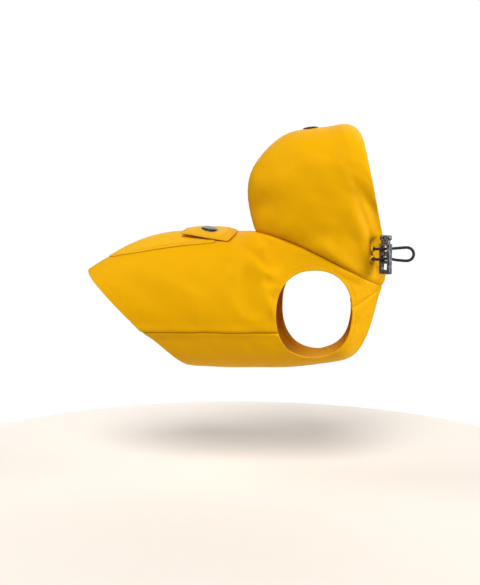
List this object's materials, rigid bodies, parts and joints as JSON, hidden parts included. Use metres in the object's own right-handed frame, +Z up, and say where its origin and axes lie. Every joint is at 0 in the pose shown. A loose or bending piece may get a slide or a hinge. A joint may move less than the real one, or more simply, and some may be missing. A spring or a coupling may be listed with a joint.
{
  "type": "dog raincoat with hood, filled out as worn",
  "caption": "Hooded raincoat for a small dog, with open armholes, a pocket on the back under a snap flap, and a drawcord loop with a spring cord lock at the throat.",
  "frame": {"origin": "inside of the back over the withers, where the wearer carries the coat", "axes": "+X towards the head, +Z up, +Y to the coat's left side"},
  "size_m": [0.3232, 0.1199, 0.2403],
  "materials": {
    "coat_cloth": "smooth coated cloth with a satin sheen, golden yellow",
    "pocket_cloth": "the same coated cloth, a little paler",
    "stud_cap": "black, glossy",
    "eyelet": "enamelled in the cloth's golden yellow",
    "cord": "black braided elastic",
    "lock_metal": "gunmetal plating, polished"
  },
  "bodies": {
    "coat": {"back_panel": "coat_cloth", "chest_panel": "coat_cloth", "hood_right": "coat_cloth", "hood_left": "coat_cloth", "pocket": "pocket_cloth", "pocket_flap": "pocket_cloth", "flap_cap": "stud_cap", "hood_cap": "stud_cap", "eyelet_upper": "eyelet", "eyelet_lower": "eyelet", "drawcord": "cord", "lock_barrel": "lock_metal"},
    "plunger": {"lock_plunger": "lock_metal"}
  },
  "joints": [
    {"name": "plunger_press", "type": "slide", "parent": "coat", "child": "plunger", "axis": [0, 0, -1], "range_m": [0, 0.0028], "stiffness_N_per_m": 400, "springref_m": -0.002}
  ]
}
